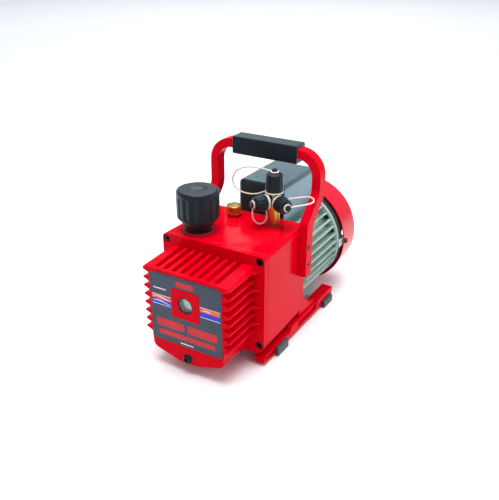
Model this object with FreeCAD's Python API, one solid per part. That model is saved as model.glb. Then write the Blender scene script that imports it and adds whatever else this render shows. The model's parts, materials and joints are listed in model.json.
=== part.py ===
import FreeCAD, Part
import math
import os

V = FreeCAD.Vector

# Rotary vane vacuum pump with its motor, in millimetres.
# X runs to the right, Y from the sight glass to the fan, Z up. While modelling, y = 0 is the
# front face of the cover flange and z = 0 is the floor. save() moves y = 0 to mid length.

# Overall places
FRONT_Y = -63.0                 # nose of the drain plug
REAR_Y = 293.0                  # back of the fan cover
Y_CENTRE = (FRONT_Y + REAR_Y) / 2
AXIS_Z = 84.0                   # motor and pump shaft line

# Casing and cover
CASE_HALF = 75.0                # half width at the flange
CASE_REAR_HALF = 72.0           # half width at the back, after the draft
CASE_LOW = 18.6
CASE_HIGH = 155.9
CASE_CORNERS = (14.0, 14.0, 6.0, 6.0)
FLANGE_T = 9.0
GASKET_T = 0.5
CASE_FRONT = FLANGE_T + GASKET_T
CASE_REAR = 115.0
WALL_Y0 = 84.0                  # the thick wall that carries the pump
WALL_Y1 = 104.0
COVER_FACE = -58.6
COVER_HALF = 53.0
COVER_FIN_TIP = 62.0
COVER_TOP_FRONT = 137.8
COVER_TOP_BACK = 142.2
FIN_PITCH = 11.7
FIN_FIRST_Z = 52.3
FIN_COUNT = 8
GROOVE_PITCH = 12.2
GROOVE_COUNT = 8
GROOVE_MIDDLE = -1.5             # x of the middle of the set
GLASS_Z = 98.8
GLASS_R = 11.0
SQUARE_HALF = 20.0
LABEL_X = (-51.4, 51.6)
LABEL_Z = (39.6, 134.0)
DRAIN_Z = 23.0
COVER_SCREWS = [(x, z) for x in (-68.0, 68.0) for z in (31.6, 148.8)]

# Fittings on top of the casing
EXHAUST = (-39.2, 30.0)
CAP_R = 27.4
CAP_TOP = 212.4
BALLAST = (-25.6, 94.8)
INLET = (35.8, 93.8)
PORT_Z = 190.0                  # height of the two side ports
PORT_ANGLES = {"right": -30.0, "left": -120.0}

# Cap straps, from the cap's button to the neck behind the cap
STRAP_R = 1.0
STRAPS = {
    "top": [(31.2, 93.7, 228.6), (22.0, 93.4, 229.8), (8.0, 92.6, 230.2), (-8.0, 91.8, 228.6), (-20.6, 91.4, 221.4),
            (-26.6, 91.4, 209.6), (-23.4, 91.6, 198.0), (-12.0, 92.2, 192.4), (3.0, 92.8, 192.0),
            (16.0, 93.4, 196.0), (25.4, 93.7, 201.6)],
    "right": [(65.4, 81.9, 190.0), (70.6, 91.2, 189.6), (76.0, 101.0, 189.0), (81.2, 110.4, 188.8),
              (82.2, 116.8, 190.6), (77.6, 119.2, 193.4), (71.6, 114.6, 194.8), (64.4, 106.4, 195.0),
              (56.6, 100.2, 194.2), (50.5, 95.0, 192.6)],
    "left": [(19.9, 66.3, 185.6), (19.2, 65.3, 177.0), (20.6, 67.6, 167.6), (24.2, 73.8, 160.8),
             (28.6, 81.4, 161.4), (30.8, 85.0, 170.0), (29.7, 83.1, 181.2)],
}

# Handle
BAR_INNER = 72.0
BAR_OUTER = 84.0
LEG_SEAT = 72.6                 # inner face of the lower legs, against the casing's sides
LEFT_LEG_DROP = 12.0            # the left leg is bent this much lower than the right one
BAR_Y = (128.0, 144.0)
BAR_Z = (238.5, 251.0)
GRIP_X = (-46.8, 50.2)
GRIP_Y = (124.6, 150.4)
GRIP_Z = (231.0, 255.8)
HANDLE_SCREWS = [(100.6, 131.0), (101.4, 105.7)]
HANDLE_SCREW_SEAT = 81.4

# Base
RAIL_X = (60.0, 75.0)
RAIL_Z = 3.5
RAIL_Y = (2.0, 209.0)
FEET = [(31.0, 60.3, 14.0), (174.5, 202.0, 12.0)]     # first y, last y, height
BASE_BOLTS_X = (-64.0, -24.0, 24.0, 64.0)
BASE_BOLTS_Y = 94.0

# Motor
TUBE_R = 61.0
TUBE_BORE = 57.0
FIN_R = 73.5
MOTOR_FIN_COUNT = 40
HOUSING_Y = (124.0, 228.0)
BEARING_FRONT_Y = 128.0
BEARING_REAR_Y = 232.0
BEARING_W = 11.0
CORE_Y = (142.0, 207.0)
COVER_R = 79.4
COVER_RIM_Y = 236.0
BELL_R = 75.4                   # black ring that shows in front of the fan cover
COVER_SHEET = 1.8
FAN_Y = (251.0, 268.0)
FAN_R = 68.0
SHAFT_R = 7.5

# Vane pump
STAGES = {"high": (44.0, 74.0), "low": (18.0, 36.0)}
BORE_R = 30.0
BORE_DROP = 4.0                 # the bore sits this far below the rotor
ROTOR_R = 25.7
STATOR_R = 44.0
PLATE_R = 48.0
PUMP_SHAFT_R = 8.0
VANE_T = 5.8
SLOT_T = 6.0
PUMP_BOLT_R = 39.0              # pitch radius of the long bolts

# Terminal box
BOX_HALF = 34.8
BOX_Y = (121.0, 215.0)
BOX_TOP = 199.0
BOX_WALL = 2.5
SWITCH_X = -16.0
SOCKET_X = 12.0
PANEL_Z = 170.0

PLANES = {
    "xy": lambda u, v, w: V(u, v, w),
    "xz": lambda u, v, w: V(u, w, v),
    "yz": lambda u, v, w: V(w, u, v),
}
X_AXIS = (1, 0, 0)
Y_AXIS = (0, 1, 0)
Z_AXIS = (0, 0, 1)


# ---------------------------------------------------------------- helpers

def rounded_corner(before, corner, after, radius):
    """Start, middle and end of the arc that rounds one corner of an outline."""
    if radius == 0:
        return corner, corner, corner
    back = (before - corner).normalize()
    ahead = (after - corner).normalize()
    half = back.getAngle(ahead) / 2
    reach = radius / math.tan(half)
    middle = (back + ahead).normalize() * (radius / math.sin(half) - radius)
    return corner + back * reach, corner + middle, corner + ahead * reach


def outline(points, plane, level, radii=0):
    """Closed wire through points (u, v), with each corner rounded to its radius."""
    count = len(points)
    if not isinstance(radii, (list, tuple)):
        radii = [radii] * count
    flat = [V(u, v, 0) for u, v in points]
    corners = [rounded_corner(flat[i - 1], flat[i], flat[(i + 1) % count], radii[i]) for i in range(count)]
    place = PLANES[plane]
    edges = []
    for i, (start, middle, end) in enumerate(corners):
        start, middle, end = (place(p.x, p.y, level) for p in (start, middle, end))
        if radii[i]:
            edges.append(Part.Arc(start, middle, end).toShape())
        following = corners[(i + 1) % count][0]
        target = place(following.x, following.y, level)
        if end.distanceToPoint(target) > 1e-6:
            edges.append(Part.makeLine(end, target))
    return Part.Wire(edges)


def prism(points, plane, start, end, radii=0):
    """Outline in a plane, pushed from one level to another."""
    face = Part.Face(outline(points, plane, start, radii))
    return face.extrude(PLANES[plane](0, 0, end - start))


def rectangle(u0, u1, v0, v1):
    return [(u0, v0), (u1, v0), (u1, v1), (u0, v1)]


def block(x0, x1, y0, y1, z0, z1):
    return Part.makeBox(x1 - x0, y1 - y0, z1 - z0, V(x0, y0, z0))


def rod(radius, start, axis, length):
    return Part.makeCylinder(radius, length, V(*start), V(*axis))


def tube(outer, inner, start, axis, length):
    return rod(outer, start, axis, length).cut(rod(inner, start, axis, length))


def turned(profile, origin, axis, radii=0):
    """Solid of revolution. Profile points are (radius, distance along the axis)."""
    solid = Part.Face(outline(profile, "xz", 0, radii)).revolve(V(0, 0, 0), V(0, 0, 1), 360)
    if solid.Volume < 0:
        solid.reverse()
    solid.Placement = FreeCAD.Placement(V(*origin), FreeCAD.Rotation(V(0, 0, 1), V(*axis)))
    return solid


def turn(shape, centre, axis, angle):
    copy = shape.copy()
    copy.rotate(V(*centre), V(*axis), angle)
    return copy


def around(shape, centre, axis, count, first=0.0):
    return [turn(shape, centre, axis, first + 360.0 * k / count) for k in range(count)]


def mirrored(shape):
    """The same shape on the other side of the machine."""
    return shape.mirror(V(0, 0, 0), V(1, 0, 0))


def both_sides(shape):
    return [shape, mirrored(shape)]


def rounded(shape, radius, chosen):
    """Fillet the edges whose middle passes a test."""
    edges = []
    for edge in shape.Edges:
        middle = edge.valueAt((edge.FirstParameter + edge.LastParameter) / 2)
        if chosen(middle):
            edges.append(edge)
    return shape.makeFillet(radius, edges)


def socket_screw(seat, axis, head_r, head_h, shank_r, length):
    """Cap screw. The seat is the middle of the head's underside, the axis points out of the head."""
    head = turned([(0, 0), (head_r, 0), (head_r, head_h), (0, head_h)], seat, axis, [0, 0, 0.6, 0])
    inward = tuple(-a for a in axis)
    shank = rod(shank_r, seat, inward, length)
    key = Part.makeCylinder(head_r * 0.52, head_h * 0.6, V(0, 0, head_h * 0.4))
    flats = prism([(head_r * 0.52 * math.cos(math.radians(60 * k)), head_r * 0.52 * math.sin(math.radians(60 * k)))
                   for k in range(6)], "xy", head_h * 0.4, head_h + 1)
    key = key.common(flats)
    key.Placement = FreeCAD.Placement(V(*seat), FreeCAD.Rotation(V(0, 0, 1), V(*axis)))
    return head.fuse(shank).cut(key)


def save(name, *solids):
    """Write one node, moved so that y = 0 is the middle of the machine's length."""
    pieces = [solid for shape in solids for solid in shape.Solids]
    for piece in pieces:
        if not piece.isValid() or piece.Volume <= 0:
            print("bad solid in", name)
    shape = pieces[0] if len(pieces) == 1 else Part.makeCompound(pieces)
    shape = shape.copy()
    shape.translate(V(0, -Y_CENTRE, 0))
    shape.exportStep("parts/" + name + ".step")
    print(name, len(pieces), round(shape.Volume / 1000, 2), "cm3")


# ---------------------------------------------------------------- casing

def casing_points(half):
    return rectangle(-half, half, CASE_LOW, CASE_HIGH)


def casing_block():
    front = outline(casing_points(CASE_HALF), "xz", CASE_FRONT, CASE_CORNERS)
    rear = outline(casing_points(CASE_REAR_HALF), "xz", CASE_REAR, CASE_CORNERS)
    return Part.makeLoft([front, rear], True, True)


def casing_hollows():
    """Oil chamber in front of the thick wall, and pockets behind it."""
    inner = rectangle(-66, 66, 25.6, 149.4)
    oil_chamber = prism(inner, "xz", 0, WALL_Y0, 8)
    pocket = prism(inner, "xz", WALL_Y1, CASE_REAR + 1, 8)
    pocket = pocket.cut(rod(64, (0, WALL_Y1 - 1, AXIS_Z), Y_AXIS, 20))
    return [oil_chamber, pocket]


def casing_shaft_bores():
    """Seal seat, coupling chamber and the motor's register, all on the shaft line."""
    steps = [(8.6, WALL_Y0, 2.5), (14.05, 86.0, 7.0), (9.5, 92.5, 4.0), (22.0, 95.5, 9.0),
             (36.0, WALL_Y1, 12.0), (60.1, 112.0, 4.0)]
    return [rod(radius, (0, y, AXIS_Z), Y_AXIS, length) for radius, y, length in steps]


def casing_passages():
    """Threaded holes for the fittings, with drilled ways down to the pump's back plate."""
    exhaust = rod(13.3, (*EXHAUST, 130), Z_AXIS, 40)
    inlet = [rod(6.6, (*INLET, 140), Z_AXIS, 20), rod(4, (*INLET, AXIS_Z + 20), Z_AXIS, 40),
             rod(4, (INLET[0], WALL_Y0 - 1, AXIS_Z + 20), Y_AXIS, INLET[1] - WALL_Y0 + 1)]
    ballast = [rod(5.1, (*BALLAST, 143), Z_AXIS, 20), rod(2, (*BALLAST, AXIS_Z + 30), Z_AXIS, 40),
               rod(2, (BALLAST[0], WALL_Y0 - 1, AXIS_Z + 30), Y_AXIS, BALLAST[1] - WALL_Y0 + 1)]
    return [exhaust, *inlet, *ballast]


def casing_screw_holes():
    holes = [rod(3.05, (x, 0, z), Y_AXIS, 32) for x, z in COVER_SCREWS]
    holes += [rod(3.05, (x, BASE_BOLTS_Y, 0), Z_AXIS, 34) for x in BASE_BOLTS_X]
    for y, z in HANDLE_SCREWS:
        holes += both_sides(rod(2.55, (56, y, z), X_AXIS, 30))
    for angle in (45, 135, 225, 315):
        turned_x = PUMP_BOLT_R * math.cos(math.radians(angle))
        turned_z = AXIS_Z + PUMP_BOLT_R * math.sin(math.radians(angle))
        holes.append(rod(2.55, (turned_x, WALL_Y0 - 1, turned_z), Y_AXIS, 15))
        bell_x = 50 * math.cos(math.radians(angle))
        bell_z = AXIS_Z + 50 * math.sin(math.radians(angle))
        holes.append(rod(2.55, (bell_x, WALL_Y1 - 8, bell_z), Y_AXIS, 22))
    return holes


def casing_web():
    """Side web that runs down from the casing onto the base rail."""
    side = [(106, CASE_LOW), (154, CASE_LOW), (153, 24.5), (136, 28.0), (CASE_REAR, 48), (106, 52)]
    return prism(side, "yz", 65.5, CASE_REAR_HALF, [0, 0, 2, 10, 4, 0])


def make_casing():
    outer = casing_block()
    bosses = [rod(9, (x, CASE_FRONT, z), Y_AXIS, 24).common(outer) for x, z in COVER_SCREWS]
    shell = outer.cut(casing_hollows()).fuse(bosses + [rod(19, (*EXHAUST, 138), Z_AXIS, 13)])
    shell = shell.fuse(both_sides(casing_web())).removeSplitter()
    shell = shell.cut(casing_shaft_bores() + casing_passages() + casing_screw_holes())
    save("main_casing", shell)


def make_gasket():
    sheet = prism(casing_points(CASE_HALF - 0.6), "xz", FLANGE_T, CASE_FRONT, CASE_CORNERS)
    opening = prism(rectangle(-60, 60, 28, 146), "xz", FLANGE_T - 1, CASE_FRONT + 1, 8)
    holes = [rod(3.4, (x, 0, z), Y_AXIS, 20) for x, z in COVER_SCREWS]
    save("cover_gasket", sheet.cut([opening] + holes))


# ---------------------------------------------------------------- finned front cover

def cover_side():
    """Right-hand half of the cover's section, from the bottom up, with its pointed fins."""
    points = [(13, 15.8), (52.0, 26.4), (COVER_HALF, 45.0)]
    for k in range(FIN_COUNT):
        tip = FIN_FIRST_Z + FIN_PITCH * k
        points += [(COVER_HALF, tip - 4.7), (COVER_FIN_TIP, tip - 1.0), (COVER_FIN_TIP, tip + 1.0)]
        if k < FIN_COUNT - 1:
            points.append((COVER_HALF, tip + 4.7))
    points.append((COVER_FIN_TIP - 4, COVER_TOP_BACK))
    return points


def cover_body():
    right = cover_side()
    left = [(-x, z) for x, z in reversed(right)]
    radii = [4, 9, 4] + [0.6] * (len(right) - 4) + [2]
    body = prism(right + left, "xz", COVER_FACE, 0, radii + radii[::-1])
    drop = [(COVER_FACE - 1, COVER_TOP_FRONT), (0, COVER_TOP_BACK), (0, 160), (COVER_FACE - 1, 160)]
    return body.cut(prism(drop, "yz", -80, 80))


def cover_grooves():
    """Grooves between the ridges on top, each run out behind the front rim."""
    grooves = []
    for k in range(GROOVE_COUNT):
        x = GROOVE_MIDDLE + GROOVE_PITCH * (k - (GROOVE_COUNT - 1) / 2)
        section = [(x - 4.4, 147), (x - 2.2, 129.5), (x + 2.2, 129.5), (x + 4.4, 147)]
        groove = prism(section, "xz", COVER_FACE + 3, 0, [0, 1.5, 1.5, 0])
        ramp = prism([(COVER_FACE + 2, 120), (COVER_FACE + 9, 120), (COVER_FACE + 3, 148),
                      (COVER_FACE + 2, 148)], "yz", x - 5, x + 5)
        grooves.append(groove.cut(ramp))
    return grooves


def cover_ribs():
    """Small corner ribs between every second fin and the flange."""
    ribs = []
    for k in range(1, FIN_COUNT, 2):
        z = FIN_FIRST_Z + FIN_PITCH * k
        side = prism([(COVER_FIN_TIP - 2, -6), (COVER_FIN_TIP, -6), (69, 0), (COVER_FIN_TIP - 2, 0)],
                     "xy", z - 1.0, z + 1.0)
        ribs += both_sides(side)
    return ribs


def cover_hollow():
    inner = [(-12, 21.5), (12, 21.5), (48.5, 31), (48.5, 125), (-48.5, 125), (-48.5, 31)]
    return prism(inner, "xz", COVER_FACE + 5, FLANGE_T + 1, [4, 4, 6, 6, 6, 6])


def make_cover():
    flange = prism(casing_points(CASE_HALF), "xz", 0, FLANGE_T, CASE_CORNERS)
    body = cover_body().cut(cover_grooves())
    cover = flange.fuse([body] + cover_ribs()).cut(cover_hollow())
    square = rectangle(-SQUARE_HALF, SQUARE_HALF, GLASS_Z - SQUARE_HALF, GLASS_Z + SQUARE_HALF)
    bosses = [prism(square, "xz", COVER_FACE - 1.2, COVER_FACE + 1, 1.5),
              rod(19, (0, COVER_FACE + 4, GLASS_Z), Y_AXIS, 6),
              rod(6.4, (0, COVER_FACE + 1, DRAIN_Z), Y_AXIS, 15)]
    cover = cover.fuse(bosses).removeSplitter()
    holes = [rod(GLASS_R + 0.1, (0, COVER_FACE - 3, GLASS_Z), Y_AXIS, 9.2),
             rod(GLASS_R - 1.2, (0, COVER_FACE, GLASS_Z), Y_AXIS, 12),
             rod(4.4, (0, COVER_FACE - 3, DRAIN_Z), Y_AXIS, 20)]
    for x, z in COVER_SCREWS:
        holes.append(rod(5.4, (x, -1, z), Y_AXIS, 7.5))
        holes.append(rod(3.3, (x, -1, z), Y_AXIS, 12))
    save("front_cover", cover.cut(holes))


def make_cover_screws():
    screws = [socket_screw((x, 6.5, z), (0, -1, 0), 5.0, 5.3, 3.0, 24) for x, z in COVER_SCREWS]
    save("cover_screws", *screws)


def make_sight_glass():
    """Lens held in the bore by a thin black ring, with a ringed plate behind it."""
    back = COVER_FACE + 6.2
    lens = turned([(0, 0), (GLASS_R, 0), (GLASS_R, 4.6), (GLASS_R - 1.4, 5.4), (0, 5.4)],
                  (0, back - 0.4, GLASS_Z), (0, -1, 0))
    save("sight_glass", lens)
    rim = GLASS_R - 1.5
    steps = [(0, 0), (rim, 0), (rim, 1.2), (7.0, 1.2), (7.0, 0.7), (4.4, 0.7), (4.4, 1.4), (2.0, 1.4),
             (2.0, 0.8), (0, 0.8)]
    save("sight_glass_target", turned(steps, (0, back + 1.6, GLASS_Z), (0, -1, 0)))
    ring = turned([(GLASS_R - 1.3, 0), (GLASS_R, 0), (GLASS_R, 1.1), (GLASS_R - 0.9, 1.1)],
                  (0, COVER_FACE + 0.4, GLASS_Z), (0, -1, 0))
    save("sight_glass_ring", ring)


def make_label():
    square = SQUARE_HALF + 0.2
    plate = prism(rectangle(*LABEL_X, *LABEL_Z), "xz", COVER_FACE - 0.6, COVER_FACE, 6)
    window = prism(rectangle(-square, square, GLASS_Z - square, GLASS_Z + square), "xz",
                   COVER_FACE - 2, COVER_FACE + 1, 1.5)
    save("face_label", plate.cut(window))


def make_drain_plug():
    seat = (0, COVER_FACE - 0.8, DRAIN_Z)
    head = turned([(0, 0), (6.5, 0), (6.5, 1.4), (4.4, COVER_FACE - 0.8 - FRONT_Y), (0, COVER_FACE - 0.8 - FRONT_Y)],
                  seat, (0, -1, 0), [0, 0, 1.2, 1.0, 0])
    shank = rod(4.1, seat, Y_AXIS, 13)
    socket = prism([(2.6 * math.cos(math.radians(60 * k)), DRAIN_Z + 2.6 * math.sin(math.radians(60 * k)))
                    for k in range(6)], "xz", FRONT_Y - 1, FRONT_Y + 2.6)
    save("drain_plug", head.fuse(shank).cut(socket))


# ---------------------------------------------------------------- fittings on top

def make_washers():
    """Sealing washers under the exhaust neck, the inlet and the drain plug."""
    exhaust = turned([(13.5, 0), (20.4, 0), (20.4, 1.4), (13.5, 1.4)], (*EXHAUST, CASE_HIGH), Z_AXIS, [0, 0, 0.5, 0])
    inlet = tube(9.6, 6.7, (*INLET, CASE_HIGH), Z_AXIS, 1.1)
    drain = tube(7.2, 4.5, (0, COVER_FACE - 0.7, DRAIN_Z), Y_AXIS, 0.7)
    save("fitting_washers", exhaust, inlet, drain)


def make_exhaust():
    foot = CASE_HIGH + 1.4
    neck = [(9, 140), (13, 140), (13, foot), (17.4, foot), (17.4, foot + 3.5), (21.7, 168.5), (21.7, 171.4),
            (19, 171.4), (19, 186), (9, 186)]
    save("exhaust_neck", turned(neck, (*EXHAUST, 0), Z_AXIS, [0, 0, 0, 0.8, 3, 2, 0.5, 0, 1, 1]))
    filter_tube = tube(8.6, 5.2, (*EXHAUST, 150), Z_AXIS, 48)
    save("exhaust_filter", filter_tube)
    cap = [(19.5, 171.8), (23.8, 171.8), (CAP_R, 175.4), (CAP_R, CAP_TOP), (0, CAP_TOP), (0, 204), (19.5, 204)]
    cap = turned(cap, (*EXHAUST, 0), Z_AXIS, [0, 1.5, 2.5, 4.5, 0, 0, 2])
    dish = Part.makeSphere(32, V(*EXHAUST, CAP_TOP + 32 - 3.0))
    flute = rod(6.5, (EXHAUST[0] + CAP_R + 5.0, EXHAUST[1], 177), Z_AXIS, 29)
    flute = rounded(flute, 3, lambda p: abs(p.z - 206) < 0.01)
    flutes = around(flute, (*EXHAUST, 0), Z_AXIS, 16)
    save("exhaust_cap", cap.cut([dish] + flutes))


def make_gas_ballast():
    sleeve = tube(5.0, 3.9, (*BALLAST, 144), Z_AXIS, CASE_HIGH - 144)
    save("gas_ballast_valve", sleeve)
    profile = [(0, 148), (3.5, 148), (3.5, 156.3), (8.6, 156.3), (10.6, 160.4), (10.6, 170.8), (0, 171.2)]
    knob = turned(profile, (*BALLAST, 0), Z_AXIS, [0, 0.5, 0, 0.8, 1.2, 0.9, 0])
    groove = prism([(BALLAST[0] + 10.05, BALLAST[1]), (BALLAST[0] + 11.0, BALLAST[1] - 0.6),
                    (BALLAST[0] + 11.0, BALLAST[1] + 0.6)], "xy", 161.6, 169.8)
    save("gas_ballast_knob", knob.cut(around(groove, (*BALLAST, 0), Z_AXIS, 40)))


def port_direction(side):
    angle = math.radians(PORT_ANGLES[side])
    return (math.cos(angle), math.sin(angle), 0)


def make_inlet():
    """Brass stem with one port up and two ports to the sides."""
    base = CASE_HIGH + 1.1
    stem = [(0, 142), (6.5, 142), (6.5, base), (7.75, base), (7.75, 203.2), (9.3, 203.2), (9.3, 219),
            (6.4, 222), (0, 222)]
    body = turned(stem, (*INLET, 0), Z_AXIS, [0, 0.8, 0, 0.6, 0, 0.3, 0.5, 0.3, 0])
    bores = [rod(4.8, (*INLET, 141), Z_AXIS, 90)]
    branches = []
    for side in PORT_ANGLES:
        axis = port_direction(side)
        branch = [(0, 0), (6.0, 0), (6.0, 14), (7.5, 14), (7.5, 24), (5.4, 25.6), (0, 25.6)]
        branches.append(turned(branch, (*INLET, PORT_Z), axis, [0, 0, 0, 0.3, 0.4, 0.3, 0]))
        bores.append(rod(3.8, (*INLET, PORT_Z), axis, 30))
    save("inlet_manifold", body.fuse(branches).removeSplitter().cut(bores))


def flare_cap(skirt_r, top_r, depth, bore_r, origin, axis, first):
    """Ribbed cap with a small button that a strap holds. It starts at 'first' along the axis."""
    end = first + depth
    profile = [(bore_r, first), (skirt_r, first), (skirt_r, first + 3.5), (top_r, end), (top_r - 3.0, end + 1.8),
               (2.5, end + 1.8), (2.5, end + 5.0), (3.9, end + 5.0), (3.9, end + 6.8), (0, end + 6.8),
               (0, end - 2), (bore_r, end - 2)]
    cap = turned(profile, (0, 0, 0), Z_AXIS, [0, 0.8, 0.5, 1.6, 1.0, 0.5, 0, 0, 0.6, 0, 0, 0.5])
    groove = rod(1.5, (skirt_r + 0.7, 0, first + 4.2), (top_r - skirt_r, 0, depth - 3.5), depth)
    cap = cap.cut(around(groove, (0, 0, 0), Z_AXIS, 12))
    cap.Placement = FreeCAD.Placement(V(*origin), FreeCAD.Rotation(V(0, 0, 1), V(*axis)))
    return cap


def make_flare_caps():
    save("flare_cap_top", flare_cap(11.7, 10.8, 21.4, 9.7, (*INLET, 0), Z_AXIS, 203.8))
    for side in PORT_ANGLES:
        cap = flare_cap(11.0, 9.4, 14.0, 7.9, (*INLET, PORT_Z), port_direction(side), 14.4)
        save("flare_cap_" + side, cap)


def strap_wire(points):
    """Straight runs joined by arcs, each arc as large as its two runs allow."""
    route = [V(*p) for p in points]
    arcs = []
    for before, corner, after in zip(route, route[1:], route[2:]):
        back = before - corner
        ahead = after - corner
        turn_angle = math.pi - back.getAngle(ahead)
        reach = 0.45 * min(back.Length, ahead.Length)
        radius = reach / math.tan(turn_angle / 2)
        arcs.append((rounded_corner(before, corner, after, radius), radius))
    edges = []
    here = route[0]
    for (start, middle, end), _ in arcs:
        edges.append(Part.makeLine(here, start))
        edges.append(Part.Arc(start, middle, end).toShape())
        here = end
    edges.append(Part.makeLine(here, route[-1]))
    return Part.Wire(edges), min(radius for _, radius in arcs)


def strap(points):
    wire, tightest = strap_wire(points)
    start = V(*points[0])
    heading = V(*points[1]) - start
    ring = Part.Wire([Part.makeCircle(STRAP_R, start, heading)])
    sweep = wire.makePipeShell([ring], True, True)
    expected = math.pi * STRAP_R ** 2 * wire.Length
    print("strap length", round(wire.Length, 1), "tightest", round(tightest, 1),
          "volume ratio", round(sweep.Volume / expected, 3))
    return sweep


def eyelet(inner, outer, origin, axis, first, thickness):
    return turned([(inner, first), (outer, first), (outer, first + thickness), (inner, first + thickness)],
                  origin, axis, 0.4)


def make_straps():
    """Three moulded straps, each with an eye on its cap's button and one on its port's neck."""
    eyes = {
        "top": (eyelet(2.9, 5.6, (*INLET, 0), Z_AXIS, 227.8, 1.6), eyelet(8.1, 12.2, (*INLET, 0), Z_AXIS, 200.9, 1.9)),
    }
    for side in ("right", "left"):
        axis = port_direction(side)
        eyes[side] = (eyelet(2.9, 5.4, (*INLET, PORT_Z), axis, 31.0, 1.6),
                      eyelet(6.4, 10.2, (*INLET, PORT_Z), axis, 10.4, 3.4))
    for name, points in STRAPS.items():
        save("cap_strap_" + name, strap(points).fuse(list(eyes[name])))


# ---------------------------------------------------------------- handle

def handle_arch():
    """Top bar and upper legs, one bent bar of constant section."""
    low = 205.0
    outer = prism(rectangle(-BAR_OUTER, BAR_OUTER, low, BAR_Z[1]), "xz", *BAR_Y, [0, 0, 34, 34])
    inner = prism(rectangle(-BAR_INNER, BAR_INNER, low - 1, BAR_Z[0]), "xz", BAR_Y[0] - 1, BAR_Y[1] + 1, [0, 0, 22, 22])
    return outer.cut(inner)


def handle_leg(drop):
    """Lower leg: down, forward to the casing's side, then down to its two screws. The bends sit lower by the drop."""
    side = [(BAR_Y[1], 205), (BAR_Y[1], 191 - drop), (112, 158 - drop), (111.5, 92), (107, 88), (95.5, 88),
            (95.5, 164 - drop), (BAR_Y[0], 196 - drop), (BAR_Y[0], 205)]
    leg = prism(side, "yz", BAR_INNER, BAR_OUTER, [0, 22, 30, 3, 3, 2, 14, 12, 0])
    return leg.cut(block(BAR_INNER - 1, LEG_SEAT, 90, 120, 80, CASE_HIGH + 1))


def make_handle():
    legs = [handle_leg(0), mirrored(handle_leg(LEFT_LEG_DROP))]
    frame = handle_arch().fuse(legs).removeSplitter()
    holes = []
    for y, z in HANDLE_SCREWS:
        holes += both_sides(rod(2.7, (60, y, z), X_AXIS, 30))
        holes += both_sides(rod(4.2, (HANDLE_SCREW_SEAT, y, z), X_AXIS, 10))
    save("handle_frame", frame.cut(holes))
    screws = [socket_screw((HANDLE_SCREW_SEAT, y, z), X_AXIS, 4.0, 2.4, 2.5, 24) for y, z in HANDLE_SCREWS]
    save("handle_screws", *screws, *[mirrored(screw) for screw in screws])


def make_grip():
    left, right = GRIP_X
    sleeve = prism(rectangle(*GRIP_Y, *GRIP_Z), "yz", left, right, 3.4)
    sleeve = rounded(sleeve, 1.4, lambda p: abs(p.x - left) < 0.01 or abs(p.x - right) < 0.01)
    hole = prism(rectangle(*BAR_Y, *BAR_Z), "yz", left - 1, right + 1)
    save("handle_grip", sleeve.cut(hole))


# ---------------------------------------------------------------- base

def base_rail():
    side = [(RAIL_Y[0], RAIL_Z), (RAIL_Y[1], RAIL_Z), (RAIL_Y[1], 20.7), (157, 20.7), (154.6, CASE_LOW),
            (77, CASE_LOW), (75, 13.2), (RAIL_Y[0], 13.2)]
    rail = prism(side, "yz", *RAIL_X, [2, 2, 2, 0, 0, 0, 1, 2])
    pad = prism(rectangle(158, RAIL_Y[1], 13, 20.7), "yz", RAIL_X[1] - 1, RAIL_X[1] + 1.2, [1, 1, 2, 1])
    rail = rail.fuse(pad)
    recesses = [prism(rectangle(97, 155, 7.5, 17.4), "yz", RAIL_X[1] - 3, RAIL_X[1] + 2, 3),
                prism(rectangle(6, 28, 6.5, 11.2), "yz", RAIL_X[1] - 3, RAIL_X[1] + 2, 1.5),
                block(RAIL_X[0] + 3.5, RAIL_X[1] - 4.5, RAIL_Y[0] + 4, 74, 0, 9.5),
                block(RAIL_X[0] + 3.5, RAIL_X[1] - 4.5, 110, RAIL_Y[1] - 4, 0, 14)]
    return rail.cut(recesses)


def make_base():
    plate = block(-RAIL_X[0] - 1, RAIL_X[0] + 1, 78, 112, 11.0, CASE_LOW)
    ribs = [block(-RAIL_X[0] - 1, RAIL_X[0] + 1, y, y + 4, RAIL_Z + 1.5, 12) for y in (78, 108)]
    motor_room = rod(FIN_R + 3, (0, 118, AXIS_Z), Y_AXIS, 120)
    frame = plate.fuse(ribs + both_sides(base_rail())).removeSplitter().cut(motor_room)
    holes = [rod(3.3, (x, BASE_BOLTS_Y, 0), Z_AXIS, 25) for x in BASE_BOLTS_X]
    holes += [rod(6.0, (x, BASE_BOLTS_Y, 0), Z_AXIS, 11.5) for x in BASE_BOLTS_X]
    save("base_frame", frame.cut(holes))
    bolts = [socket_screw((x, BASE_BOLTS_Y, 11.5), (0, 0, -1), 5.0, 5.0, 3.0, 20) for x in BASE_BOLTS_X]
    save("base_bolts", *bolts)


def make_feet():
    """Soft blocks pushed over the outer lip of each rail."""
    feet = []
    for y0, y1, height in FEET:
        foot = prism(rectangle(62, 80, 0, height), "xz", y0, y1, [1, 2.5, 2.5, 0])
        foot = rounded(foot, 1.2, lambda p: p.x > 79.9 and (abs(p.y - y0) < 0.01 or abs(p.y - y1) < 0.01))
        feet.append(foot.cut(block(55, RAIL_X[1] + 1.25, y0 - 1, y1 + 1, RAIL_Z, 30)))
    save("rubber_feet", *feet, *[mirrored(foot) for foot in feet])


# ---------------------------------------------------------------- motor

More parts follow.
